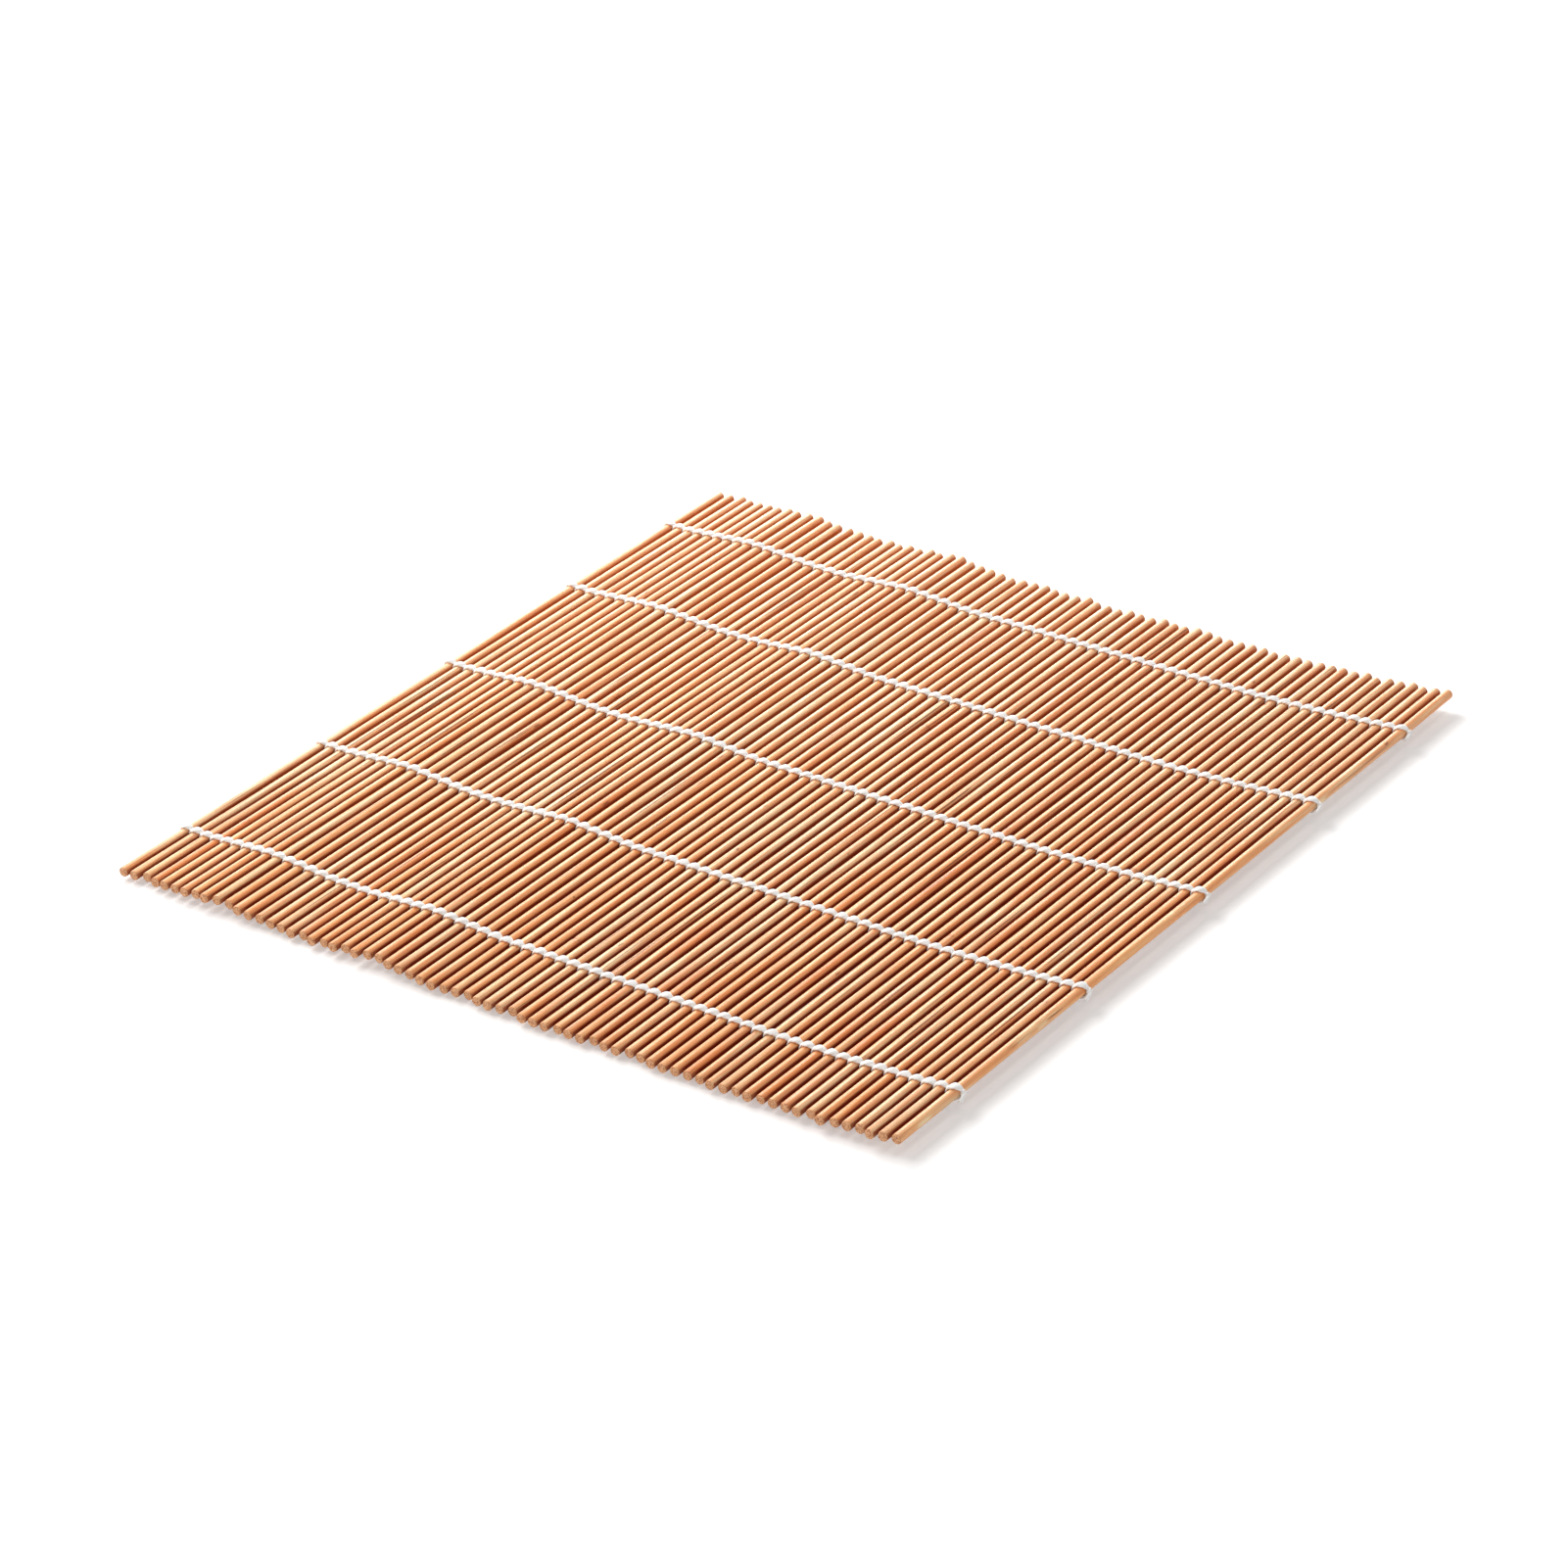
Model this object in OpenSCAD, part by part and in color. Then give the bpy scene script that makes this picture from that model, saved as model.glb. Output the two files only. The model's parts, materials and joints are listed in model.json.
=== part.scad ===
// Rolling mat for sushi: round bamboo sticks laid side by side and bound by five rows of twined
// cotton thread. The mat lies as it was left on a table, with two low waves and one edge a little
// raised. It rolls up about fold lines that run along the sticks, one between each two links.

/* [Sticks] */
// Length of a stick
stick_length = 240; // [200:1:280]
// Diameter of a stick
stick_d = 2.6; // [2.2:0.1:3.2]
// Bevel round the cut ends of a stick
end_bevel = 0.25; // [0.1:0.05:0.5]
// Most that one stick is shifted along its length
end_stray = 0.8; // [0:0.1:1.5]
// How far the sticks at the two edges are shifted past those in the middle
end_bow = 1; // [0:0.1:3]

/* [Binding] */
// Diameter of one strand of the thread
strand_d = 0.56; // [0.4:0.02:0.8]
// Clearance between a strand and the stick on each side of it
strand_clearance = 0.07; // [0.05:0.01:0.15]
// Clearance between two strands that pass each other between sticks
crossing_clearance = 0.34; // [0.3:0.02:0.5]
// How far a strand swells where the sticks squeeze it
squeeze_swell = 0.02; // [0.01:0.01:0.04]
// Length of a squeezed place along the strand
squeeze_length = 0.2; // [0.1:0.05:0.4]
// From the near ends of the sticks to the first row of thread
near_margin = 23.4; // [15:0.1:30]
// From the far ends of the sticks to the last row of thread
far_margin = 22.5; // [15:0.1:30]
// From each of the first three rows to the next
row_spacing = 50.5; // [40:0.5:52]
// Diameter of the knot that ends a row
knot_d = 1.5; // [1.2:0.1:2]
// How far a knot's centre stands out from the end of its row
knot_stand = 0.2; // [0:0.05:0.4]
// Length of the thread tail that hangs from a knot
tail_length = 3; // [1.5:0.1:3.5]
// Angle of a tail from straight up
tail_lean = 140; // [120:1:150]
// Angle of a tail about the upright, towards the near ends
tail_turn = -60; // [-80:1:-30]

/* [Links] */
// Number of links that the mat bends into
link_count = 23; // [14:1:23]
// Number of sticks in a link
link_sticks = 3; // [2:1:4]
// Gap in a strand where one link ends and the next begins
fold_gap = 0.2; // [0.15:0.01:0.3]
// Height of a fold line above the middle of the sticks
fold_height = 0.3; // [0.25:0.01:0.4]

/* [Resting shape] */
// Steepest tilt of the links in a wave, in degrees
wave_tilt = 6; // [0:0.5:8]
// Number of links from one foot of a wave to the other
wave_links = 4; // [2:2:6]
// First link of each wave, counted from 0
wave_starts = [1, 6];
// Tilt of the last link at the raised edge, in degrees
edge_tilt = 5; // [0:0.5:8]
// Number of links over which the raised edge climbs
edge_links = 5; // [3:1:8]

/* [Hidden] */
$fn = 32;
stray_seed = 7;
bamboo_tones = [[0.80, 0.56, 0.36], [0.74, 0.47, 0.29], [0.84, 0.62, 0.41]];
thread_tone = [0.95, 0.94, 0.92];

stick_r = stick_d / 2;
strand_r = strand_d / 2;
stick_count = link_count * link_sticks;
pitch = stick_d + strand_d + 2 * strand_clearance;
link_length = pitch * link_sticks;

// The two strands of a row lie this far to each side of it where they pass between two sticks
crossing_offset = strand_r + crossing_clearance / 2;
wrap_r = norm([pitch / 2, crossing_offset]);

row_y = [
    for (row = [0 : 3]) -stick_length / 2 + near_margin + row * row_spacing,
    stick_length / 2 - far_margin
];

// Shift of each stick along its length: a bow from edge to edge, and some stray
stray = rands(-end_stray, end_stray, stick_count, stray_seed);
function across(i) = 2 * i / (stick_count - 1) - 1;
stick_shift = [for (i = [0 : stick_count - 1]) end_bow * pow(across(i), 2) + stray[i]];

// Tilt of link k where the mat lies at rest, in degrees
function in_wave(k, start) = k >= start && k < start + wave_links;
function wave_part(k, start) = in_wave(k, start) ? sin(360 * (k - start + 0.5) / wave_links) : 0;
function edge_part(k) = max(0, k - (link_count - 1 - edge_links)) / edge_links;
function tilt(k) =
    wave_tilt * (wave_part(k, wave_starts[0]) + wave_part(k, wave_starts[1]))
    + edge_tilt * edge_part(k);

// Fold lines of the mat in X and Z: fold k lies before link k, and the last one ends the mat
middle_height = wrap_r + strand_r;
fold_x = [for (k = 0, x = 0; k <= link_count; x = x + link_length * cos(tilt(k)), k = k + 1) x];
fold_z = [
    for (k = 0, z = middle_height + fold_height; k <= link_count;
        z = z + link_length * sin(tilt(k)), k = k + 1) z
];

// The raised edge ends in the knots or in the tips of their tails
last_tilt = tilt(link_count - 1);
tail_along = [sin(tail_lean) * cos(tail_turn), sin(tail_lean) * sin(tail_turn), cos(tail_lean)];
function from_last_fold(x, z) = x * cos(last_tilt) - (z - fold_height) * sin(last_tilt);
knot_reach = from_last_fold(knot_stand, 0) + knot_d / 2;
tail_reach = from_last_fold(knot_stand + tail_length * tail_along.x, tail_length * tail_along.z) + strand_r;

// The origin lies under the middle of the mat
low_x = -strand_r;
high_x = fold_x[link_count] + max(knot_reach, tail_reach);
middle_x = (low_x + high_x) / 2;
middle_y = (min(stick_shift) + max(stick_shift)) / 2;

function two_digits(n) = n < 10 ? str("0", n) : str(n);
function slats_name(k) = str("slats_", two_digits(k + 1));
function binding_name(k) = str("binding_", two_digits(k + 1));

// Puts what is drawn along X from the start of a link, with the sticks' middle at Z 0, in its place
module in_link(k) {
    translate([fold_x[k] - middle_x, -middle_y, fold_z[k]])
        rotate([0, -tilt(k), 0])
            translate([0, 0, -fold_height])
                children();
}

// A round stick along Y, cut square with a small bevel at both ends
module stick() {
    rotate([90, 0, 0])
        rotate_extrude()
            polygon([
                [0, -stick_length / 2],
                [stick_r - end_bevel, -stick_length / 2],
                [stick_r, -stick_length / 2 + end_bevel],
                [stick_r, stick_length / 2 - end_bevel],
                [stick_r - end_bevel, stick_length / 2],
                [0, stick_length / 2]
            ]);
}

// The sticks of link k
module slats(k) {
    in_link(k)
        for (j = [0 : link_sticks - 1]) {
            i = k * link_sticks + j;
            color(bamboo_tones[i % len(bamboo_tones)])
                translate([(j + 0.5) * pitch, stick_shift[i], 0])
                    stick();
        }
}

// Half a turn of a strand over a stick (side 1) or under it (side -1), between two places along Y.
// A gap shortens the end where the strand passes to another link.
module half_turn(side, y_in, y_out, gap_in, gap_out) {
    turn_r = norm([pitch, y_out - y_in]) / 2;
    gap_angle = asin(fold_gap / 2 / turn_r);
    cut_in = gap_in ? gap_angle : 0;
    cut_out = gap_out ? gap_angle : 0;
    translate([0, (y_in + y_out) / 2, 0])
        rotate([0, 0, atan2(y_out - y_in, pitch)])
            rotate([side * 90, 0, 0])
                rotate([0, 0, cut_out])
                    rotate_extrude(angle = 180 - cut_in - cut_out)
                        translate([turn_r, 0])
                            circle(r = strand_r);
}

// Where a strand goes straight down or up through the gap between two sticks
module squeezed(y) {
    translate([pitch / 2, y, 0])
        cylinder(r = strand_r + squeeze_swell, h = squeeze_length, center = true);
}

// The two strands of a row around stick i: one passes over it and the other under it.
// They start as one loop round the first stick and meet again in the knot past the last.
module turns_round(i) {
    j = i % link_sticks;
    starts_mat = i == 0;
    ends_mat = i == stick_count - 1;
    for (side = [-1, 1])
        half_turn(
            side,
            starts_mat ? 0 : -side * crossing_offset,
            ends_mat ? 0 : side * crossing_offset,
            j == 0 && !starts_mat,
            j == link_sticks - 1 && !ends_mat
        );
    if (starts_mat)
        translate([-pitch, 0, 0])
            squeezed(0);
    if (j < link_sticks - 1)
        for (side = [-1, 1])
            squeezed(side * crossing_offset);
}

// The knot past the last stick, shaped to lie against it, and the tail of thread that it leaves
module knot_and_tail() {
    translate([link_length + knot_stand, 0, 0])
        difference() {
            union() {
                sphere(d = knot_d);
                rotate([0, tail_lean, tail_turn]) {
                    cylinder(r = strand_r, h = tail_length);
                    translate([0, 0, tail_length])
                        sphere(r = strand_r);
                }
            }
            translate([-knot_stand - pitch / 2, 0, 0])
                rotate([90, 0, 0])
                    cylinder(r = stick_r + strand_clearance, h = knot_d + 1, center = true);
        }
}

// The thread of all rows on link k
module binding(k) {
    color(thread_tone)
        in_link(k)
            for (y = row_y)
                translate([0, y, 0]) {
                    for (j = [0 : link_sticks - 1])
                        translate([(j + 0.5) * pitch, 0, 0])
                            turns_round(k * link_sticks + j);
                    if (k == link_count - 1)
                        knot_and_tail();
                }
}

for (k = [0 : link_count - 1]) {
    slats(k);
    binding(k);
}
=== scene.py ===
"""Looks of the sushi rolling mat: bamboo sticks, twined cotton thread, studio floor, light and camera."""

import json
import math

import bpy
import numpy as np
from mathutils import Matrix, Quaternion, Vector

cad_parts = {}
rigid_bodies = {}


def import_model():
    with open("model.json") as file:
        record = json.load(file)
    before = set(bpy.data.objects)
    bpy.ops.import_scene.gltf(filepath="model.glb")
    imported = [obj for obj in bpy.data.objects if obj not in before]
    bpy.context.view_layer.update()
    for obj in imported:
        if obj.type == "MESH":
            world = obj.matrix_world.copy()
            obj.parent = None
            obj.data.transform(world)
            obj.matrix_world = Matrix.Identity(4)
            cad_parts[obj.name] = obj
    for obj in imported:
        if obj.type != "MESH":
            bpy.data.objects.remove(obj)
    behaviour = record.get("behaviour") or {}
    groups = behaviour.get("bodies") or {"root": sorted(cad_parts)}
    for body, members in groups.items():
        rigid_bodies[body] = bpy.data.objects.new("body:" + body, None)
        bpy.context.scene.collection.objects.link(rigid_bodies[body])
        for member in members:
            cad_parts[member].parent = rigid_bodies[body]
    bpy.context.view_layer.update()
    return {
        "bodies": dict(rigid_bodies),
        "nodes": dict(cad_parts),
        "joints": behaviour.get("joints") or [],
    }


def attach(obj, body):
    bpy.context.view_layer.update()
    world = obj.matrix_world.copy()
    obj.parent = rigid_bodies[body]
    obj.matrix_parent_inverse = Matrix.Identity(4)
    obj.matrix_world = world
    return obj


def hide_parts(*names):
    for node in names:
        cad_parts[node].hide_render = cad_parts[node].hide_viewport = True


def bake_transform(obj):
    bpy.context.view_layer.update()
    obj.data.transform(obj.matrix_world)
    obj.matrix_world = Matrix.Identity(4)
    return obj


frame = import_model()

# Sizes of the CAD part, in millimetres
MM = 0.001
LINK_COUNT = len(frame["bodies"])
LINK_STICKS = 3
STICK_COUNT = LINK_COUNT * LINK_STICKS
LAST_LINK = LINK_COUNT - 1
LAST_STICK = STICK_COUNT - 1
STICK_R = 1.3
PITCH = 3.3
LINK_LENGTH = PITCH * LINK_STICKS
FOLD_HEIGHT = 0.3
CROSSING_OFFSET = 0.45
FIRST_ROW_Y = -97.103
ROW_SPACING = 50.5
LAST_ROW_Y = 96.997
ROW_Y = [FIRST_ROW_Y + row * ROW_SPACING for row in range(4)] + [LAST_ROW_Y]

# Tilt of the first and the last link at rest, in degrees
FIRST_TILT = 0
LAST_TILT = 5


# Places in the mat


def tilted(degrees):
    """Direction along a tilted link, as x and z."""
    return np.array([math.cos(math.radians(degrees)), math.sin(math.radians(degrees))])


folds = [np.array(joint["pos_m"])[[0, 2]] / MM for joint in frame["joints"]]
starts = [folds[0] - LINK_LENGTH * tilted(FIRST_TILT), *folds]
ends = [*folds, folds[-1] + LINK_LENGTH * tilted(LAST_TILT)]
along = [(b - a) / np.linalg.norm(b - a) for a, b in zip(starts, ends)]
upward = [np.array([-t[1], t[0]]) for t in along]


def turned(k, vectors):
    """Directions in link k, given as u along the mat, y and w upward, as x, y and z."""
    u, y, w = vectors[..., 0], vectors[..., 1], vectors[..., 2]
    return np.stack([u * along[k][0] + w * upward[k][0], y, u * along[k][1] + w * upward[k][1]], axis=-1)


def place(k, points):
    """Points of link k, given as u from its first fold line, y and w above the middle of its sticks."""
    start = np.array([starts[k][0], 0, starts[k][1]])
    return start + turned(k, points - np.array([0, 0, FOLD_HEIGHT]))


def unit(vectors):
    """Vectors of length 1 in the same directions."""
    return vectors / np.linalg.norm(vectors, axis=-1, keepdims=True)


# Meshes


def tube_faces(rings, around):
    """Quads between rings of points, and a polygon to close each end."""
    faces = []
    for ring in range(rings - 1):
        a = ring * around
        for i in range(around):
            j = (i + 1) % around
            faces.append((a + i, a + j, a + around + j, a + around + i))
    faces.append(tuple(reversed(range(around))))
    faces.append(tuple((rings - 1) * around + i for i in range(around)))
    return faces


def join(shapes):
    """Points, faces and shading values of several shapes, put together as one."""
    faces = []
    count = 0
    for points, own_faces, *_ in shapes:
        faces += [tuple(count + v for v in face) for face in own_faces]
        count += len(points)
    points, _, *values = zip(*shapes)
    return (np.concatenate(points), faces, *(np.concatenate(value) for value in values))


def make_piece(name, points, faces, material, marks, sharp_angle):
    """A smooth mesh piece of points in millimetres, with its shading values as colour attributes."""
    mesh = bpy.data.meshes.new(name)
    mesh.from_pydata((points * MM).tolist(), [], faces)
    mesh.polygons.foreach_set("use_smooth", [True] * len(mesh.polygons))
    mesh.set_sharp_from_angle(angle=math.radians(sharp_angle))
    for key, values in marks.items():
        layer = mesh.color_attributes.new(key, "FLOAT_COLOR", "POINT")
        rgba = np.concatenate([values, np.ones((len(values), 1))], axis=1)
        layer.data.foreach_set("color", rgba.astype(np.float32).ravel())
    mesh.materials.append(material)
    mesh.update()
    piece = bpy.data.objects.new(name, mesh)
    bpy.context.scene.collection.objects.link(piece)
    return piece


# Materials


class Nodes:
    """A short way to write the node tree of a material or a world."""

    # Sockets of the Mix node for colours, which share their names with others
    MIX_SHARE = 0
    MIX_A = 6
    MIX_B = 7
    MIX_RESULT = 2

    def __init__(self, owner, shader):
        owner.use_nodes = True
        self.tree = owner.node_tree
        self.shader = self.tree.nodes[shader]

    def put(self, node, inputs):
        """Give a node's inputs plain values, or link them to other nodes."""
        for slot, value in inputs.items():
            if isinstance(value, bpy.types.NodeSocket):
                self.tree.links.new(value, node.inputs[slot])
            else:
                node.inputs[slot].default_value = value

    def add(self, kind, inputs, **settings):
        node = self.tree.nodes.new(kind)
        for key, value in settings.items():
            setattr(node, key, value)
        self.put(node, inputs)
        return node

    def math(self, operation, a, b):
        return self.add("ShaderNodeMath", {0: a, 1: b}, operation=operation).outputs[0]

    def spread(self, value, low, high, to_low=0.0, to_high=1.0):
        """The smooth way of a value from low to high, as a way from to_low to to_high."""
        inputs = {"Value": value, "From Min": low, "From Max": high, "To Min": to_low, "To Max": to_high}
        return self.add("ShaderNodeMapRange", inputs, interpolation_type="SMOOTHSTEP").outputs["Result"]

    def mix(self, share, a, b):
        """Colour a where the share is 0, and colour b where it is 1."""
        inputs = {self.MIX_SHARE: share, self.MIX_A: a, self.MIX_B: b}
        return self.add("ShaderNodeMix", inputs, data_type="RGBA").outputs[self.MIX_RESULT]

    def ramp(self, share, stops):
        node = self.add("ShaderNodeValToRGB", {0: share})
        elements = node.color_ramp.elements
        while len(elements) < len(stops):
            elements.new(0.5)
        for element, (position, colour) in zip(elements, stops):
            element.position = position
            element.color = colour
        return node.outputs[0]

    def noise(self, where, scale, detail, roughness, stretch=None):
        if stretch:
            where = self.add("ShaderNodeMapping", {0: where, "Scale": stretch}).outputs[0]
        inputs = {"Vector": where, "Scale": scale, "Detail": detail, "Roughness": roughness}
        return self.add("ShaderNodeTexNoise", inputs).outputs[0]

    def channels(self, name):
        """The three shading values that the points of a piece carry under a name."""
        values = self.add("ShaderNodeAttribute", {}, attribute_name=name).outputs[0]
        return self.add("ShaderNodeSeparateColor", {0: values}).outputs

    def bump(self, height, strength, distance):
        inputs = {"Strength": strength, "Distance": distance, "Height": height}
        return self.add("ShaderNodeBump", inputs).outputs[0]

    def across(self, at, share_y, share_x):
        """How far a place lies towards the far side of the mat and its left side."""
        to_far_side = self.math("MULTIPLY", at["Y"], share_y)
        to_right_side = self.math("MULTIPLY", at["X"], share_x)
        return self.math("SUBTRACT", to_far_side, to_right_side)

    def shows_background(self):
        """1 for rays from the camera, off gloss or through glass, which see the plain white."""
        rays = self.add("ShaderNodeLightPath", {}).outputs
        indirect = self.math("MAXIMUM", rays["Is Glossy Ray"], rays["Is Transmission Ray"])
        return self.math("MAXIMUM", rays["Is Camera Ray"], indirect)


def linear(*srgb):
    """An 8-bit screen colour as the shader takes it."""
    out = []
    for channel in srgb:
        c = channel / 255
        out.append(c / 12.92 if c <= 0.04045 else ((c + 0.055) / 1.055) ** 2.4)
    return (*out, 1.0)


WHITE = (1, 1, 1, 1)

# Colours of the sticks, from the palest to the darkest
STICK_COLOURS = [
    (0.0, linear(255, 206, 150)),
    (0.3, linear(255, 190, 128)),
    (0.6, linear(253, 176, 111)),
    (0.85, linear(243, 155, 90)),
    (1.0, linear(232, 150, 96)),
]
# Colour of the painted light towards the far side of the mat
FAR_PAINTED_LIGHT = linear(255, 224, 184)
WORN = linear(252, 214, 166)
BUNDLE = linear(238, 138, 76)
FIBRE = linear(210, 108, 50)
# Colour of the painted highlight along the crowns
PAINTED_HIGHLIGHT_COLOUR = linear(255, 238, 204)
SPECK = linear(126, 74, 42)
CRACK = linear(120, 58, 28)
# Colours of the painted shade on the flanks between sticks, at the near right and the far left of the mat
NEAR_PAINTED_SHADE = linear(126, 34, 0)
FAR_PAINTED_SHADE = linear(200, 112, 60)
END_DARK = linear(172, 98, 60)
END_PALE = linear(246, 190, 142)
NICK = linear(120, 44, 14)
BARED = linear(255, 230, 184)

# Colours of the cotton
YARN_DULL = linear(253, 252, 250)
YARN_BRIGHT = linear(255, 255, 254)
# Colour of the painted shade in the grooves
PAINTED_GROOVE_SHADE = linear(226, 220, 214)


def bamboo_material():
    """Carbonised bamboo. The noises of its grain are long along the sticks, with scales per metre."""
    material = bpy.data.materials.new("carbonised_bamboo")
    n = Nodes(material, "Principled BSDF")
    place_in_mat = n.add("ShaderNodeTexCoord", {}).outputs["Object"]
    at = n.add("ShaderNodeSeparateXYZ", {0: place_in_mat}).outputs
    darkness, painted_highlight_mask, painted_shade = n.channels("tone")
    cut_end, dark_mark, pale_mark = n.channels("mark")
    fibres = n.noise(place_in_mat, scale=3800, detail=3, roughness=0.6, stretch=(1, 0.02, 1))
    bundles = n.noise(place_in_mat, scale=1300, detail=2, roughness=0.5, stretch=(1, 0.03, 1))
    patches = n.noise(place_in_mat, scale=55, detail=2, roughness=0.5, stretch=(1.6, 0.5, 1.6))
    specks = n.noise(place_in_mat, scale=900, detail=2, roughness=0.55, stretch=(1, 0.22, 1))
    cracks = n.noise(place_in_mat, scale=1500, detail=1, roughness=0.4, stretch=(1, 0.012, 1))
    end_dots = n.noise(place_in_mat, scale=3600, detail=2, roughness=0.6)

    # Each stick has its own colour, with painted light that makes it paler towards the far side, and worn
    # patches and grain
    colour = n.ramp(darkness, STICK_COLOURS)
    colour = n.mix(n.spread(at["Y"], -0.04, 0.12, 0.0, 0.4), colour, FAR_PAINTED_LIGHT)
    colour = n.mix(n.spread(patches, 0.42, 0.72), colour, WORN)
    colour = n.mix(n.spread(bundles, 0.62, 0.38, 0.0, 0.50), colour, BUNDLE)
    colour = n.mix(n.spread(fibres, 0.60, 0.36, 0.0, 0.35), colour, FIBRE)

    # Painted highlight: the crowns are made pale, most of all on the left of the mat
    painted_highlight = n.math("MULTIPLY", painted_highlight_mask, n.spread(bundles, 0.2, 0.7, 0.26, 0.68))
    painted_highlight = n.math("MULTIPLY", painted_highlight, n.spread(n.across(at, 0.3, 0.95), -0.10, 0.08, 0.4, 1.15))
    colour = n.mix(painted_highlight, colour, PAINTED_HIGHLIGHT_COLOUR)

    # Specks and cracks
    colour = n.mix(n.spread(specks, 0.74, 0.80, 0.0, 0.7), colour, SPECK)
    colour = n.mix(n.spread(cracks, 0.70, 0.735, 0.0, 0.75), colour, CRACK)

    # Painted shade on the flanks between two sticks, deeper towards the near right of the mat, then cut ends
    # and marks
    painted_shade_tint = n.mix(n.spread(n.across(at, 0.8, 0.6), -0.10, 0.17), NEAR_PAINTED_SHADE, FAR_PAINTED_SHADE)
    colour = n.mix(painted_shade, colour, painted_shade_tint)
    end_grain = n.mix(n.spread(end_dots, 0.36, 0.56), END_DARK, END_PALE)
    colour = n.mix(n.math("MULTIPLY", cut_end, 0.9), colour, end_grain)
    colour = n.mix(n.math("MULTIPLY", dark_mark, n.spread(bundles, 0.62, 0.44)), colour, NICK)
    colour = n.mix(pale_mark, colour, BARED)

    open_roughness = n.spread(bundles, 0.3, 0.7, 0.46, 0.34)
    relief = n.math("ADD", n.math("MULTIPLY", fibres, 0.7), n.math("MULTIPLY", bundles, 0.6))
    n.put(n.shader, {
        "Base Color": colour,
        "Roughness": n.math("MAXIMUM", open_roughness, n.math("MULTIPLY", painted_shade, 0.95)),
        "Specular IOR Level": 0.2,
        "Normal": n.bump(relief, strength=0.35, distance=0.06 * MM),
    })
    return material


def cotton_material():
    """Soft white cotton yarn, with painted shade in the grooves between its plies."""
    material = bpy.data.materials.new("twined_cotton")
    n = Nodes(material, "Principled BSDF")
    place_in_mat = n.add("ShaderNodeTexCoord", {}).outputs["Object"]
    painted_groove_share = n.channels("lay")[0]
    fuzz = n.noise(place_in_mat, scale=9000, detail=3, roughness=0.7)
    hair = n.noise(place_in_mat, scale=2600, detail=2, roughness=0.6, stretch=(1, 0.6, 1))
    yarn = n.mix(n.spread(hair, 0.35, 0.7), YARN_DULL, YARN_BRIGHT)
    # Painted shade: the yarn is darkened in the grooves between its plies
    n.put(n.shader, {
        "Base Color": n.mix(n.math("MULTIPLY", painted_groove_share, 0.4), yarn, PAINTED_GROOVE_SHADE),
        "Roughness": 0.92,
        "Specular IOR Level": 0.2,
        "Sheen Weight": 0.5,
        "Sheen Roughness": 0.5,
        "Normal": n.bump(fuzz, strength=0.4, distance=0.05 * MM),
    })
    return material


bamboo = bamboo_material()
cotton = cotton_material()


# Sticks, with lengths in millimetres and angles in degrees

STICK_SEED = 4100
STICK_SHARP_ANGLE = 50
AROUND = 28
RING_STEP = 3.0
RING_SHIFT = 0.4
LEAST_RING_STEP = 0.08

# Rings of a mark, as shares of its half length, and of a growth ring, from its middle
MARK_RINGS = (-1.3, -0.9, -0.5, 0, 0.5, 0.9, 1.3)
GROWTH_RING_RINGS = (-2, -1.2, -0.6, 0, 0.6, 1.2, 2)

# Nicks on a stick, and shares of the sticks with a long nick, a growth ring or a flat side
NICKS_PER_STICK = 1.1
LONG_NICK_SHARE = 0.3
GROWTH_RING_SHARE = 0.22
FLAT_SHARE = 0.5

# Spread of the sticks' thickness, and the share of them that are thinner, by how much
SIZE_SPREAD = 0.012
THIN_SHARE = 0.1
THIN_BY = 0.05

# How far the cut ends lean and are rough, and how far from the end the lean is felt
CUT_LEAN = 0.05
CUT_ROUGHNESS = 0.035
CUT_REACH = 3.0

# The last stick's place between the palest and the darkest
OUTER_DARKNESS = 0.3

# Rings at a rounded end: distance from the end, and share of the stick's radius
END_RINGS = [(0.0, 0.30), (0.0, 0.62), (0.0, 0.86), (0.05, 0.945), (0.16, 0.985), (0.34, 1.0)]

# Marks on the outer flank of the last stick: place, angle, half length, width, depth, dark (+) or pale (-)
OUTER_MARKS = [
    (-110.2, 2, 2.6, 24, 0.08, -1.0), (-73.0, 48, 3.8, 13, 0.10, 1.0), (-71.0, 22, 2.8, 12, 0.05, -0.6),
    (-61.6, 46, 4.2, 13, 0.12, 1.0), (-59.0, 20, 3.0, 12, 0.06, 0.8), (-63.5, 18, 2.0, 12, 0.05, -0.8),
    (-8.0, 82, 0.8, 12, 0.03, -0.9), (56.6, -6, 2.4, 26, 0.08, -1.0), (88.8, 50, 0.8, 12, 0.04, 0.8),
    (79.0, 20, 14.0, 10, 0.03, 0.6),
]

# Splinters that stand off it: root, angle, length along the stick, lift at the tip
SPLINTERS = [(-64.8, 92, 3.0, 0.40), (-74.5, 42, 4.0, 0.14), (-57.8, 36, -3.6, 0.16), (-63.5, 54, 2.6, 0.18)]
SPLINTER_RINGS = 7
SPLINTER_HALF_WIDTH = 0.085
SPLINTER_TIP = 0.008
SPLINTER_ROOT_DEPTH = 0.06
SPLINTER_TURN = 9


def stick_ends(k):
    """Lowest and highest y of each stick of link k, as the CAD's solids have them."""
    node = frame["nodes"]["slats_%02d" % (k + 1)]
    co = np.empty(len(node.data.vertices) * 3)
    node.data.vertices.foreach_get("co", co)
    co = co.reshape(-1, 3) / MM
    u = (co[:, 0] - starts[k][0]) * along[k][0] + (co[:, 2] - starts[k][1]) * along[k][1]
    index = np.clip((u // PITCH).astype(int), 0, LINK_STICKS - 1)
    return [(co[index == j, 1].min(), co[index == j, 1].max()) for j in range(LINK_STICKS)]


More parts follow.
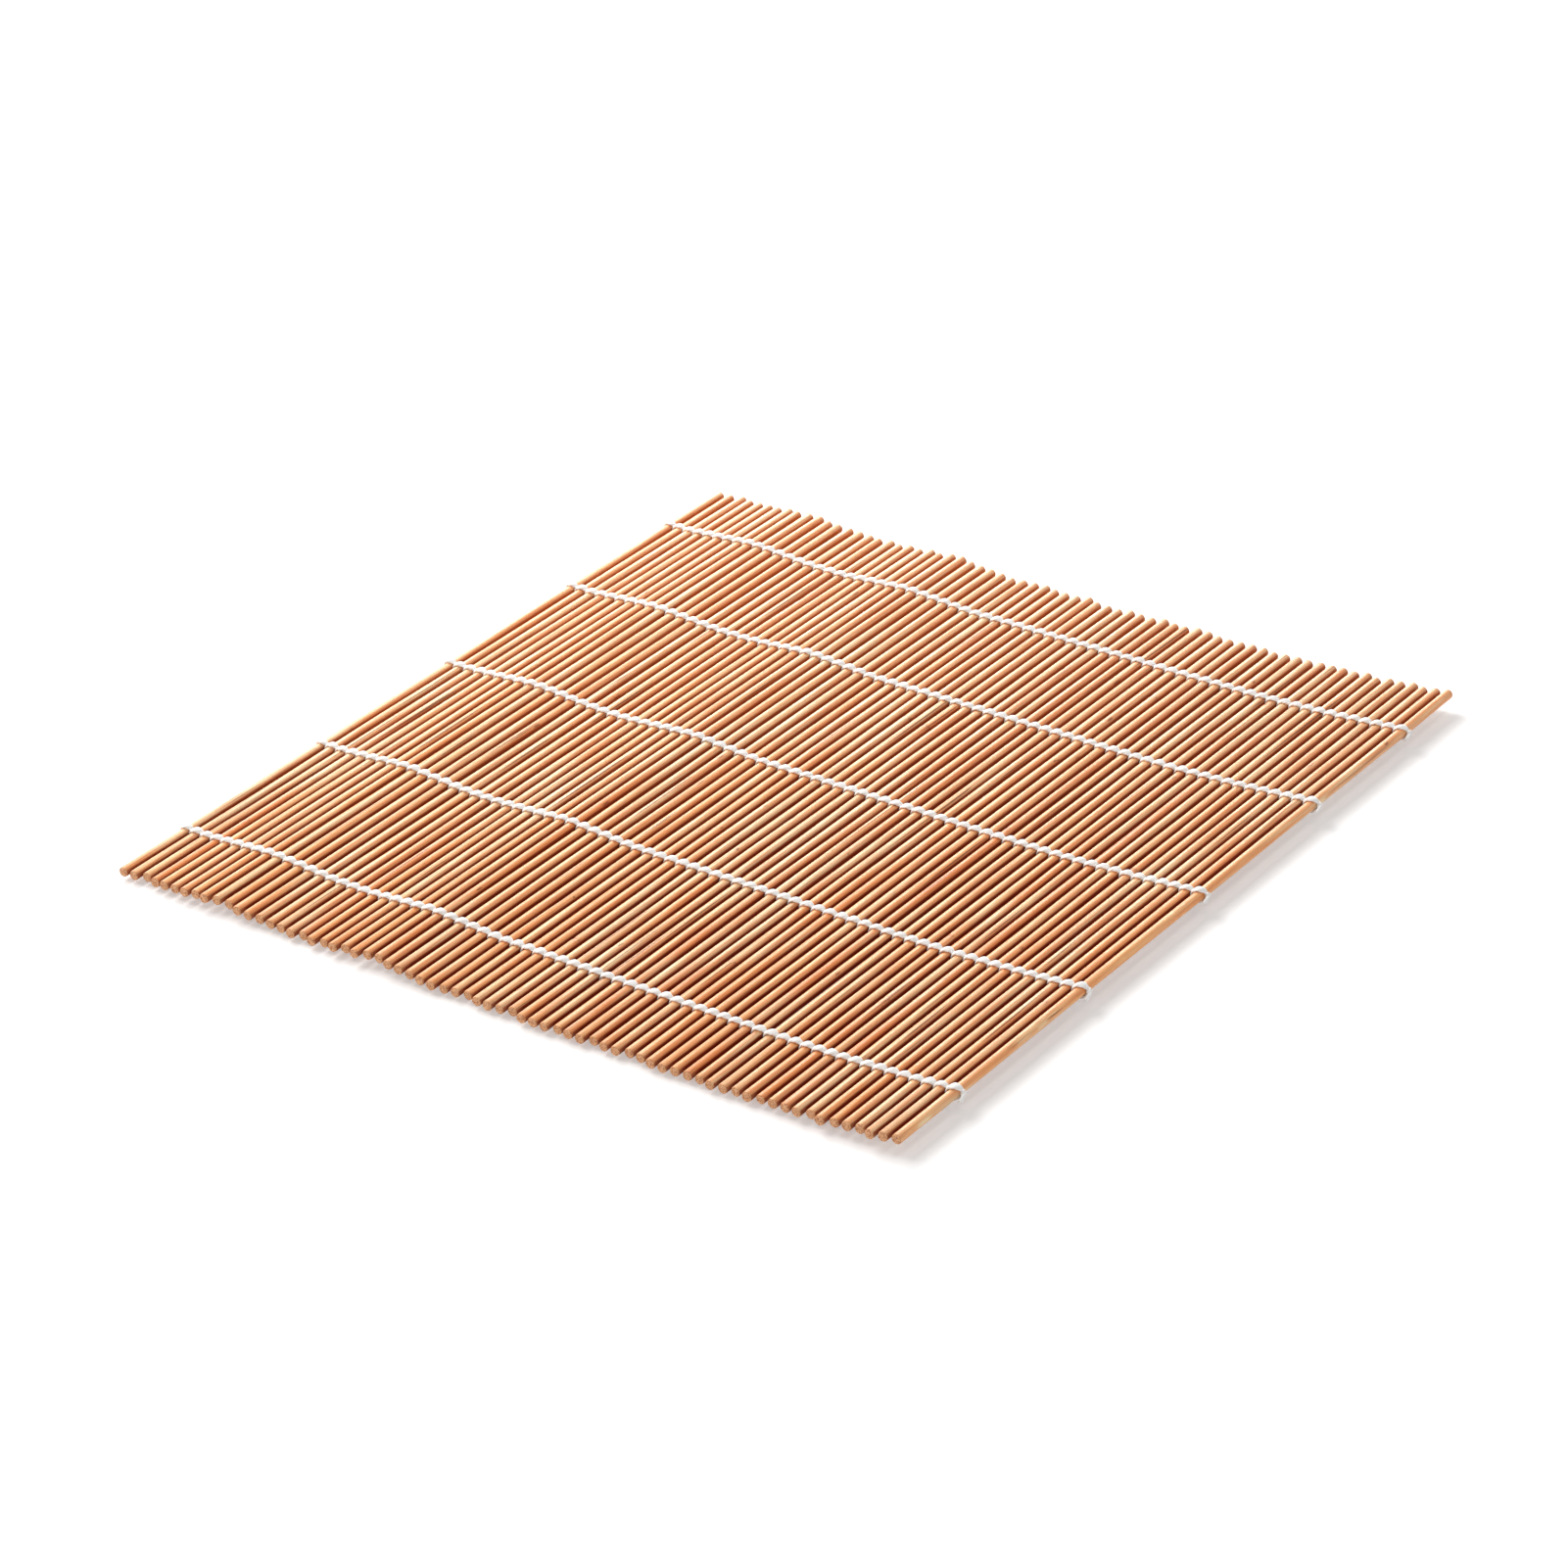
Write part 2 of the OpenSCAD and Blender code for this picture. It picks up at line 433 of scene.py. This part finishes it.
def splinter(root, angle, length, lift):
    """A thin sliver of bamboo that is rooted in the stick and lifts off it."""
    points = []
    for share in np.linspace(0, 1, SPLINTER_RINGS):
        half = SPLINTER_HALF_WIDTH * (1 - share) ** 0.7 + SPLINTER_TIP
        out = STICK_R - SPLINTER_ROOT_DEPTH + lift * share ** 2
        for d_angle, d_out in ((-1, 0), (0, 0.05), (1, 0), (0, -0.04)):
            a = math.radians(angle + SPLINTER_TURN * share) + d_angle * half / STICK_R
            r = out + d_out * (1 - 0.8 * share)
            points.append((r * math.cos(a), root + length * share, r * math.sin(a)))
    faces = tube_faces(SPLINTER_RINGS, 4)
    if length < 0:
        faces = [tuple(reversed(face)) for face in faces]
    # A little darkness, part of the painted highlight and half the pale of a bared mark
    tone = np.tile([0.1, 0.6, 0.0], (len(points), 1))
    mark = np.tile([0.0, 0.0, 0.5], (len(points), 1))
    return np.array(points), faces, tone, mark


def smooth_wave(rng, y, lengths, height):
    """A slow wander along a stick, as a sum of waves of the given lengths."""
    total = np.zeros_like(y)
    for length in lengths:
        total += rng.uniform(0.4, 1.0) * np.sin(2 * math.pi * (y / length + rng.uniform()))
    return total * height / len(lengths)


def random_nicks(rng, low, high):
    """Marks like those of OUTER_MARKS, at random places on the upper side of a stick."""
    nicks = []
    for _ in range(rng.poisson(NICKS_PER_STICK)):
        nicks.append((rng.uniform(low + 6, high - 6), rng.uniform(20, 160), rng.uniform(0.5, 1.6),
                      rng.uniform(10, 18), rng.uniform(0.04, 0.12), rng.uniform(0.5, 1.0)))
    if rng.uniform() < LONG_NICK_SHARE:
        nicks.append((rng.uniform(low + 30, high - 30), rng.uniform(20, 150), rng.uniform(5, 14),
                      9.0, rng.uniform(0.05, 0.1), rng.uniform(0.6, 1.0)))
    return nicks


def stick_rings(rng, low, high, marks, growth_ring):
    """Places of the rings along a stick, closest at its marks and ends, and their share of its radius."""
    inner = np.arange(low + RING_STEP, high - RING_STEP / 2, RING_STEP)
    body = list(inner + rng.uniform(-RING_SHIFT, RING_SHIFT, len(inner)))
    for at, _, length, *_ in marks:
        body += [at + length * s for s in MARK_RINGS]
    if growth_ring is not None:
        body += [growth_ring + s for s in GROWTH_RING_RINGS]
    body = sorted(b for b in body if low + 0.6 < b < high - 0.6)
    body = [b for a, b in zip([low] + body, body) if b - a > LEAST_RING_STEP]
    rings = [(low + d, s) for d, s in END_RINGS] + [(b, 1.0) for b in body]
    rings += [(high - d, s) for d, s in reversed(END_RINGS)]
    places, shares = zip(*rings)
    return np.array(places), np.array(shares)


def uneven_radius(rng, y, theta, size):
    """Radius of a stick all round: a little wavy, oval and three-sided, and on some flat on one side."""
    turn = rng.uniform(0, 2 * math.pi)
    twist = turn + 0.004 * rng.normal() * y
    radius = STICK_R * size * (1 + smooth_wave(rng, y, (90, 31, 13), 0.012))[:, None]
    radius = radius * (1 - rng.uniform(0, 0.022) * (1 + np.cos(2 * (theta - twist[:, None]))) / 2)
    radius = radius * (1 - 0.010 * (1 + np.cos(3 * theta + rng.uniform(0, 6))) / 2)
    radius -= 0.012 * rng.uniform(0, 1, (1, AROUND))
    if rng.uniform() < FLAT_SHARE:
        flat_at = math.radians(rng.uniform(30, 140))
        depth = rng.uniform(0.03, 0.09) * (1 + np.sin(y / rng.uniform(14, 40) + rng.uniform(0, 6))) / 2
        radius -= depth[:, None] * np.exp(-((theta - flat_at) / 0.45) ** 2)
    return radius


def marked(radius, y, theta, marks, growth_ring):
    """The radius with the marks and the growth ring cut in, and how dark and how pale they make it."""
    dark = np.zeros_like(radius)
    pale = np.zeros_like(radius)
    for at, angle, length, width, depth, tone in marks:
        away = (np.degrees(theta) - angle + 180) % 360 - 180
        spot = np.exp(-(((y[:, None] - at) / length) ** 4) - (away / width) ** 2)
        radius = radius - depth * spot
        dark = np.maximum(dark, tone * spot)
        pale = np.maximum(pale, -tone * spot)
    if growth_ring is not None:
        ridge = np.exp(-((y - growth_ring) / 0.7) ** 2)[:, None]
        dip = np.exp(-((y - growth_ring - 1.0) / 0.4) ** 2)[:, None]
        radius = radius + (0.035 * ridge - 0.05 * dip)
        dark = np.maximum(dark, 0.5 * dip + 0.18 * ridge)
    return radius, dark, pale


def end_shift(rng, y, share, theta, low, high):
    """How far the points near the cut ends lie along the stick, because the cuts lean and are rough."""
    shift = np.zeros_like(theta)
    for end in (low, high):
        near = np.clip(1 - np.abs(y - end) / CUT_REACH, 0, 1)[:, None]
        lean = rng.normal(0, CUT_LEAN) * np.cos(theta) + rng.normal(0, CUT_LEAN) * np.sin(theta)
        rough = rng.uniform(-CUT_ROUGHNESS, CUT_ROUGHNESS, theta.shape) * (np.abs(y - end) < 0.4)[:, None]
        shift += near * (lean * share[:, None]) + rough
    return shift


def stick_tone_and_painted_light(rng, i, y, theta):
    """How dark stick i is, its painted highlight along the upper left of the crown, and its painted shade on
    the flanks that face its neighbours.
    """
    darkness = rng.beta(2.0, 2.0)
    if i == LAST_STICK:
        darkness = OUTER_DARKNESS
    # Painted highlight: a pale band along the upper left of the crown, the same on the opposite underside
    painted_highlight_at = math.pi / 2 + 0.2 + rng.normal(0, 0.12) + 0.1 * np.sin(y / rng.uniform(20, 50))[:, None]
    painted_highlight = np.exp(-(np.arcsin(np.clip(np.cos(theta - painted_highlight_at + math.pi / 2), -1, 1)) / 0.45) ** 2)
    painted_highlight = painted_highlight * rng.uniform(0.75, 1.0)
    # Painted shade: the flanks that face a neighbour are darkened, but not the outer flanks of the first and
    # last sticks
    towards = np.cos(theta)
    if i == 0:
        towards = np.maximum(towards, 0)
    if i == LAST_STICK:
        towards = np.minimum(towards, 0)
    facing = np.clip((np.abs(towards) - 0.72) / 0.24, 0, 1)
    painted_shade = facing * facing * (3 - 2 * facing)
    return np.stack([np.full_like(theta, darkness), painted_highlight, painted_shade], axis=-1).reshape(-1, 3)


def stick(i, low, high):
    """Points (u, y and w from the stick's middle line), faces and shading values of stick i."""
    rng = np.random.RandomState(STICK_SEED + i)
    size = 1.0 - abs(rng.normal(0, SIZE_SPREAD)) - (THIN_BY if rng.uniform() < THIN_SHARE else 0.0)
    wander = 0.10 + 0.12 * rng.uniform()
    marks = random_nicks(rng, low, high)
    growth_ring = rng.uniform(low + 15, high - 15) if rng.uniform() < GROWTH_RING_SHARE else None
    if i == LAST_STICK:
        marks += OUTER_MARKS

    y, share = stick_rings(rng, low, high, marks, growth_ring)
    theta = (np.arange(AROUND) * 2 * math.pi / AROUND)[None, :] * np.ones((len(y), 1))
    radius = uneven_radius(rng, y, theta, size)
    radius, dark, pale = marked(radius, y, theta, marks, growth_ring)
    radius = radius * share[:, None]
    du = smooth_wave(rng, y, (150, 83), wander)
    dw = smooth_wave(rng, y, (170, 64), 0.07)
    u = np.cos(theta) * radius + du[:, None]
    w = np.sin(theta) * radius + dw[:, None]
    points = np.stack([u, y[:, None] + end_shift(rng, y, share, theta, low, high), w], axis=-1)

    from_end = np.minimum(y - low, high - y)
    cut = np.maximum(np.exp(-(from_end / 0.22) ** 2), 0.35 * np.exp(-(from_end / 1.2) ** 2))
    cut = cut[:, None] * np.ones_like(theta)
    dark = np.maximum(dark, 0.25 * cut * rng.uniform(0, 1, theta.shape))
    tone = stick_tone_and_painted_light(rng, i, y, theta)
    mark = np.stack([cut, dark, pale], axis=-1)
    return points.reshape(-1, 3), tube_faces(len(y), AROUND), tone, mark.reshape(-1, 3)


def sticks_of_link(k):
    """The sticks of link k, and the splinters of the last stick, each with its place in the link."""
    for j, (low, high) in enumerate(stick_ends(k)):
        yield j, stick(k * LINK_STICKS + j, low, high)
    if k == LAST_LINK:
        for where in SPLINTERS:
            yield LINK_STICKS - 1, splinter(*where)


for k in range(LINK_COUNT):
    shapes = []
    for j, (points, *rest) in sticks_of_link(k):
        middle = np.array([(j + 0.5) * PITCH, 0, 0])
        shapes.append((place(k, middle + points), *rest))
    points, faces, tone, mark = join(shapes)
    shading = {"tone": tone, "mark": mark}
    piece = make_piece("sticks_%02d" % (k + 1), points, faces, bamboo, shading, STICK_SHARP_ANGLE)
    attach(piece, "link_%02d" % (k + 1))
    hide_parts("slats_%02d" % (k + 1))


# Thread

CREST_SEED = 900
STRAND_AROUND = 24
THREAD_SHARP_ANGLE = 60

# A half turn of a strand round a stick: its rings, and the length of yarn in it
HALF_TURN_RINGS = 20
HALF_TURN_LENGTH = 5.2

# The plies of the yarn turn once in this length, and swell its surface by this share
PLIES = 3
PLY_TURN = 1.45
PLY_SWELL = 0.085

# How far the plies are shifted from row to row, and between the two strands of a row
ROW_LAY_STEP = 0.9
STRAND_LAY_STEP = 0.7

# Height of a strand over and under a stick, and its half sizes there and between two sticks
OVER_HEIGHT = 1.69
UNDER_HEIGHT = 1.62
CREST_HALF_WIDTH = 1.05
CREST_HALF_THICKNESS = 0.43
UNDER_HALF_THICKNESS = 0.36
GAP_HALF_WIDTH = 0.43
GAP_HALF_THICKNESS = 0.30

# The knot lies this far beside the middle of its row
KNOT_Y = 0.9

# Places this far before and after each fold line are worked out, but nothing uses them
FOLD_REACH = 0.8


def crest_variation(row, i, over):
    """Small differences of one half turn from the others: width, height and place along the stick."""
    rng = np.random.RandomState(CREST_SEED + row * 1000 + i * 2 + over)
    return rng.normal(0, 0.05), rng.uniform(0, 0.05), rng.normal(0, 0.05)


def strand_point(row, i, share, over):
    """Middle, outward direction and half sizes of a strand at a share of its half turn round stick i.

    The middle and the direction are in the frame of the link that holds stick i, as u, y and w."""
    angle = math.pi * (1 - share)
    crest = math.sin(angle) ** 2
    wider, lower, aside = crest_variation(row, i, over)
    side = 1 if over else -1
    height = (OVER_HEIGHT - lower) if over else UNDER_HEIGHT
    y_in = -side * CROSSING_OFFSET if i else 0.0
    y_out = side * CROSSING_OFFSET if i < LAST_STICK else KNOT_Y
    slant = (1 - math.cos(math.pi * share)) / 2
    u = (i % LINK_STICKS + 0.5 + 0.5 * math.cos(angle)) * PITCH
    w = side * height * math.sin(angle)
    y = ROW_Y[row] + y_in + (y_out - y_in) * slant + aside * crest
    outward = np.array([math.cos(angle), 0.0, side * math.sin(angle)]) * side
    half_width = GAP_HALF_WIDTH + (CREST_HALF_WIDTH * (1 + wider) - GAP_HALF_WIDTH) * crest
    thickest = CREST_HALF_THICKNESS if over else UNDER_HALF_THICKNESS
    half_thickness = GAP_HALF_THICKNESS + (thickest - GAP_HALF_THICKNESS) * crest
    return np.array([u, y, w]), outward, half_width, half_thickness


def strand(row, first, last, starts_over):
    """Path of one strand between two places, counted in sticks from the start of the mat."""
    steps = np.linspace(first, last, round((last - first) * HALF_TURN_RINGS) + 1)
    middles, outs, widths, thicknesses = [], [], [], []
    for s in steps:
        i = min(int(s + 1e-9), LAST_STICK)
        k = i // LINK_STICKS
        over = starts_over if i % 2 == 0 else not starts_over
        middle, outward, half_width, half_thickness = strand_point(row, i, min(s - i, 1.0), over)
        middles.append(place(k, middle))
        outs.append(turned(k, outward))
        widths.append(half_width)
        thicknesses.append(half_thickness)
    return np.array(middles), np.array(outs), np.array(widths), np.array(thicknesses), steps


def ridges(psi, run):
    """Round ridges of the plies, at angles psi and lengths run of the yarn, from -1 in a groove to 1."""
    phase = PLIES * psi[None, :] - 2 * math.pi * run[:, None] / PLY_TURN
    return 2 * np.abs(np.cos(phase / 2)) - 1


def groove(ridge):
    """How deep a place lies in a groove of the yarn, from 0 to 1, which sets the painted shade there."""
    return ((1 - ridge) / 2) ** 1.5


def strand_surface(path, lay_start, pad_in, pad_out):
    """A tube round a strand's path with the plies of the yarn: points, faces and depth in the grooves.

    A padded end has one ring more than is kept, so that the next piece carries the surface on."""
    middles, outs, widths, thicknesses, steps = path
    tangents = unit(np.gradient(middles, axis=0))
    outs = unit(outs - tangents * np.sum(outs * tangents, axis=1)[:, None])
    sides = np.cross(tangents, outs)
    psi = np.arange(STRAND_AROUND) * 2 * math.pi / STRAND_AROUND
    ridge = ridges(psi, steps * HALF_TURN_LENGTH + lay_start)
    swell = 1 + PLY_SWELL * ridge
    across = (np.cos(psi)[None, :] * widths[:, None] * swell)[..., None]
    through = (np.sin(psi)[None, :] * thicknesses[:, None] * swell)[..., None]
    points = middles[:, None, :] + sides[:, None, :] * across + outs[:, None, :] * through
    kept = slice(pad_in, len(points) - pad_out)
    faces = tube_faces(len(points[kept]), STRAND_AROUND)
    return points[kept].reshape(-1, 3), faces, groove(ridge)[kept].ravel()


def thread_part(name, first, last, knots=()):
    """All rows of thread between two places, counted in sticks, as one piece."""
    shapes = []
    pad_in = int(first > 0)
    pad_out = int(last < STICK_COUNT)
    padded_first = first - pad_in / HALF_TURN_RINGS
    padded_last = last + pad_out / HALF_TURN_RINGS
    for row in range(len(ROW_Y)):
        for starts_over in (True, False):
            path = strand(row, padded_first, padded_last, starts_over)
            lay_start = row * ROW_LAY_STEP + (STRAND_LAY_STEP if starts_over else 0.0)
            shapes.append(strand_surface(path, lay_start, pad_in, pad_out))
    points, faces, depth = join([*shapes, *knots])
    # The depth in the grooves sets the painted shade of the yarn
    shading = {"lay": np.outer(depth, (1, 0, 0))}
    piece = make_piece(name, points, faces, cotton, shading, THREAD_SHARP_ANGLE)
    return piece


# The pieces of thread meet over the middle stick of each link, at places counted in sticks
seams = [(k + 0.5) * LINK_STICKS for k in range(LINK_COUNT)]

first_thread = thread_part("thread_start", 0.0, seams[0])
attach(first_thread, "link_01")
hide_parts("binding_01")

for k in range(LINK_COUNT - 1):
    piece = thread_part("thread_%02d" % (k + 1), seams[k], seams[k + 1])
    fold = np.array([folds[k][0], 0, folds[k][1]]) * MM
    reach = turned(k, np.array([FOLD_REACH, 0, 0])) * MM
    before, after = tuple(fold - reach), tuple(fold + reach)
    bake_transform(piece)
    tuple(before)
    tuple(after)
    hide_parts("binding_%02d" % (k + 2))


# Knots and tails

KNOT_SEED = 310

# The knot's middle past the last link's first fold line, its size and the radius of its strand
KNOT_U = LINK_LENGTH + 0.30
KNOT_SIZE = 0.20
KNOT_STRAND_R = 0.35
KNOT_PLY_SWELL = 0.05
KNOT_RINGS = 40
KNOT_AROUND = 10

# The tail ends this far from the knot's middle, as u, y and w
TAIL_END = np.array([0.15, -2.3, -1.15])
TAIL_R = 0.45
TAIL_PLY_SWELL = 0.06
TAIL_RINGS = 12
TAIL_AROUND = 12

# Loose fibres at the tip of each tail, thinner towards their ends
FRAY_COUNT = 9
FRAY_RADII = np.array([0.10, 0.095, 0.08, 0.055, 0.02])
FRAY_AROUND = 6


def yarn_tube(path, radii, around, swell=0.0):
    """A tube on the last link with its own radius at each point; swell gives it the plies of the yarn."""
    tangents = unit(np.gradient(path, axis=0))
    side = unit(np.cross(tangents, (0.3, 0.9, 0.31)))
    up = np.cross(tangents, side)
    psi = np.arange(around) * 2 * math.pi / around
    run = np.concatenate([[0], np.cumsum(np.linalg.norm(np.diff(path, axis=0), axis=1))])
    ridge = ridges(psi, run)
    size = radii[:, None] * (1 + swell * ridge)
    across = side[:, None, :] * (np.cos(psi) * size)[..., None]
    through = up[:, None, :] * (np.sin(psi) * size)[..., None]
    points = (path[:, None, :] + (across + through)).reshape(-1, 3)
    return place(LAST_LINK, points), tube_faces(len(path), around), (groove(ridge) * (swell > 0)).ravel()


def knot(rng, middle):
    """A closed trefoil of yarn, turned its own way about the direction along the mat."""
    t = np.linspace(0, 2 * math.pi, KNOT_RINGS)
    turn = rng.uniform(0, 2 * math.pi)
    u = -np.sin(3 * t) * 0.9
    y = np.sin(t) + 2 * np.sin(2 * t)
    w = np.cos(t) - 2 * np.cos(2 * t)
    turned_y = y * math.cos(turn) - w * math.sin(turn)
    turned_w = y * math.sin(turn) + w * math.cos(turn)
    path = middle + np.stack([u, turned_y, turned_w], axis=1) * KNOT_SIZE
    return yarn_tube(path, np.full(KNOT_RINGS, KNOT_STRAND_R), KNOT_AROUND, KNOT_PLY_SWELL)


def tail_path(rng, middle):
    """The way that a tail hangs from its knot, outward and down."""
    share = np.linspace(0, 1, TAIL_RINGS)[:, None]
    end = TAIL_END * rng.uniform(0.9, 1.08) + rng.uniform(-0.25, 0.25, 3)
    bend = np.array([0.35, rng.uniform(-0.3, 0.3), 0.25])
    return middle + end * share + bend * np.sin(math.pi * share)


def tail(path):
    """The short tail of a thread, a little thinner at both ends."""
    share = np.linspace(0, 1, TAIL_RINGS)
    radii = TAIL_R * np.interp(share, [0, 0.2, 0.8, 1], [0.85, 1, 0.95, 0.75])
    return yarn_tube(path, radii, TAIL_AROUND, TAIL_PLY_SWELL)


def frayed_hair(rng, tip, onward):
    """One loose fibre at the tip of a tail."""
    root = tip - 0.35 * onward + rng.uniform(-0.17, 0.17, 3)
    reach = (0.35 + rng.uniform(0.1, 0.4)) * (onward + rng.normal(0, 0.22, 3))
    path = root + reach * np.linspace(0, 1, len(FRAY_RADII))[:, None]
    return yarn_tube(path, FRAY_RADII, FRAY_AROUND)


def knots_and_tails():
    """The knot that ends each row, and the short frayed tail that hangs from it."""
    for row in range(len(ROW_Y)):
        rng = np.random.RandomState(KNOT_SEED + row)
        middle = np.array([KNOT_U, ROW_Y[row] + KNOT_Y, 0.0])
        yield knot(rng, middle)
        path = tail_path(rng, middle)
        yield tail(path)
        onward = unit(path[-1] - path[-2])
        for _ in range(FRAY_COUNT):
            yield frayed_hair(rng, path[-1], onward)


last_thread = thread_part("thread_end", seams[-1], STICK_COUNT, knots_and_tails())
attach(last_thread, "link_%02d" % LINK_COUNT)
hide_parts("binding_%02d" % LINK_COUNT)


# Floor, light and camera

# The floor, in metres, lies just under the mat
FLOOR_HALF = 3.0
FLOOR_DROP = 0.0002
FLOOR_COLOUR = (0.80, 0.80, 0.80, 1)
FLOOR_GLOW = 0.34

# Strength of the sky near the horizon and overhead, and the heights between which it changes
SKY_HORIZON = 1.10
SKY_ZENITH = 0.38
SKY_LOW = 0.05
SKY_HIGH = 0.60

# Where the lamps shine from, in metres; of the key, which is a sun, only the direction counts
KEY_FROM = (-0.80, -0.05, 1.0)
KEY_ENERGY = 1.34
KEY_ANGLE = 34
KEY_COLOUR = (1.0, 0.985, 0.96)
RIM_FROM = (-0.40, 0.62, 0.36)
RIM_ENERGY = 5.6
RIM_SIZE = 0.52
FILL_FROM = (-0.43, 0.16, 0.42)
FILL_ENERGY = 3.0
FILL_SIZE = 0.35

# The camera as fitted to the photograph: places in metres, roll in degrees, lens in millimetres
CAMERA_AT = (0.66385, -0.88665, 0.6185)
CAMERA_AIM = Vector((-0.00645, 0.00208, 0.0))
CAMERA_ROLL = -2.38
CAMERA_LENS = 119.7
CAMERA_SENSOR = 36
CAMERA_CLIP = 0.05


def plain_floor():
    """A white floor that keeps the mat's shadow."""
    material = bpy.data.materials.new("white_floor")
    n = Nodes(material, "Principled BSDF")
    n.put(n.shader, {
        "Base Color": FLOOR_COLOUR,
        "Roughness": 0.9,
        "Specular IOR Level": 0.1,
        "Emission Color": WHITE,
        "Emission Strength": n.math("MULTIPLY", n.shows_background(), FLOOR_GLOW),
    })
    mesh = bpy.data.meshes.new("floor")
    corners = [(x * FLOOR_HALF, y * FLOOR_HALF, 0) for x, y in ((-1, -1), (1, -1), (1, 1), (-1, 1))]
    mesh.from_pydata(corners, [], [(0, 1, 2, 3)])
    mesh.materials.append(material)
    floor = bpy.data.objects.new("floor", mesh)
    floor.location.z = -FLOOR_DROP
    bpy.context.scene.collection.objects.link(floor)


def plain_world():
    """A sky that is brighter towards the horizon, and plain white where it is seen itself."""
    world = bpy.data.worlds.new("studio")
    bpy.context.scene.world = world
    n = Nodes(world, "Background")
    direction = n.add("ShaderNodeTexCoord", {}).outputs["Generated"]
    height = n.add("ShaderNodeSeparateXYZ", {0: direction}).outputs["Z"]
    strength = n.spread(height, SKY_LOW, SKY_HIGH, SKY_HORIZON, SKY_ZENITH)
    n.put(n.shader, {"Color": WHITE, "Strength": strength})
    white = n.add("ShaderNodeBackground", {"Color": WHITE, "Strength": 1.0}).outputs[0]
    mix = n.add("ShaderNodeMixShader", {0: n.shows_background(), 1: n.shader.outputs[0], 2: white})
    n.put(n.tree.nodes["World Output"], {"Surface": mix.outputs[0]})


def lamp(name, kind, shines_from, energy):
    """A lamp that shines at the middle of the mat."""
    light = bpy.data.objects.new(name, bpy.data.lights.new(name, kind))
    light.location = shines_from
    light.rotation_euler = (-light.location).to_track_quat("-Z", "Y").to_euler()
    light.data.energy = energy
    bpy.context.scene.collection.objects.link(light)
    return light


def round_lamp(name, shines_from, energy, size):
    """A soft round lamp that the camera doesn't see."""
    light = lamp(name, "AREA", shines_from, energy)
    light.data.shape = "DISK"
    light.data.size = size
    light.visible_camera = False
    return light


def photograph_camera():
    """The camera at the photograph's viewing angle."""
    camera = bpy.data.objects.new("camera", bpy.data.cameras.new("camera"))
    camera.location = CAMERA_AT
    level = (CAMERA_AIM - camera.location).to_track_quat("-Z", "Y")
    camera.rotation_euler = (level @ Quaternion((0, 0, 1), math.radians(CAMERA_ROLL))).to_euler()
    camera.data.sensor_width = CAMERA_SENSOR
    camera.data.lens = CAMERA_LENS
    camera.data.clip_start = CAMERA_CLIP
    bpy.context.scene.collection.objects.link(camera)
    return camera


plain_floor()
plain_world()

key = lamp("key", "SUN", KEY_FROM, KEY_ENERGY)
key.data.angle = math.radians(KEY_ANGLE)
key.data.color = KEY_COLOUR
rim = round_lamp("rim", RIM_FROM, RIM_ENERGY, RIM_SIZE)
rim.visible_diffuse = False
fill = round_lamp("fill", FILL_FROM, FILL_ENERGY, FILL_SIZE)
fill.visible_glossy = False

bpy.context.scene.camera = photograph_camera()
bpy.context.scene.view_settings.view_transform = "Standard"
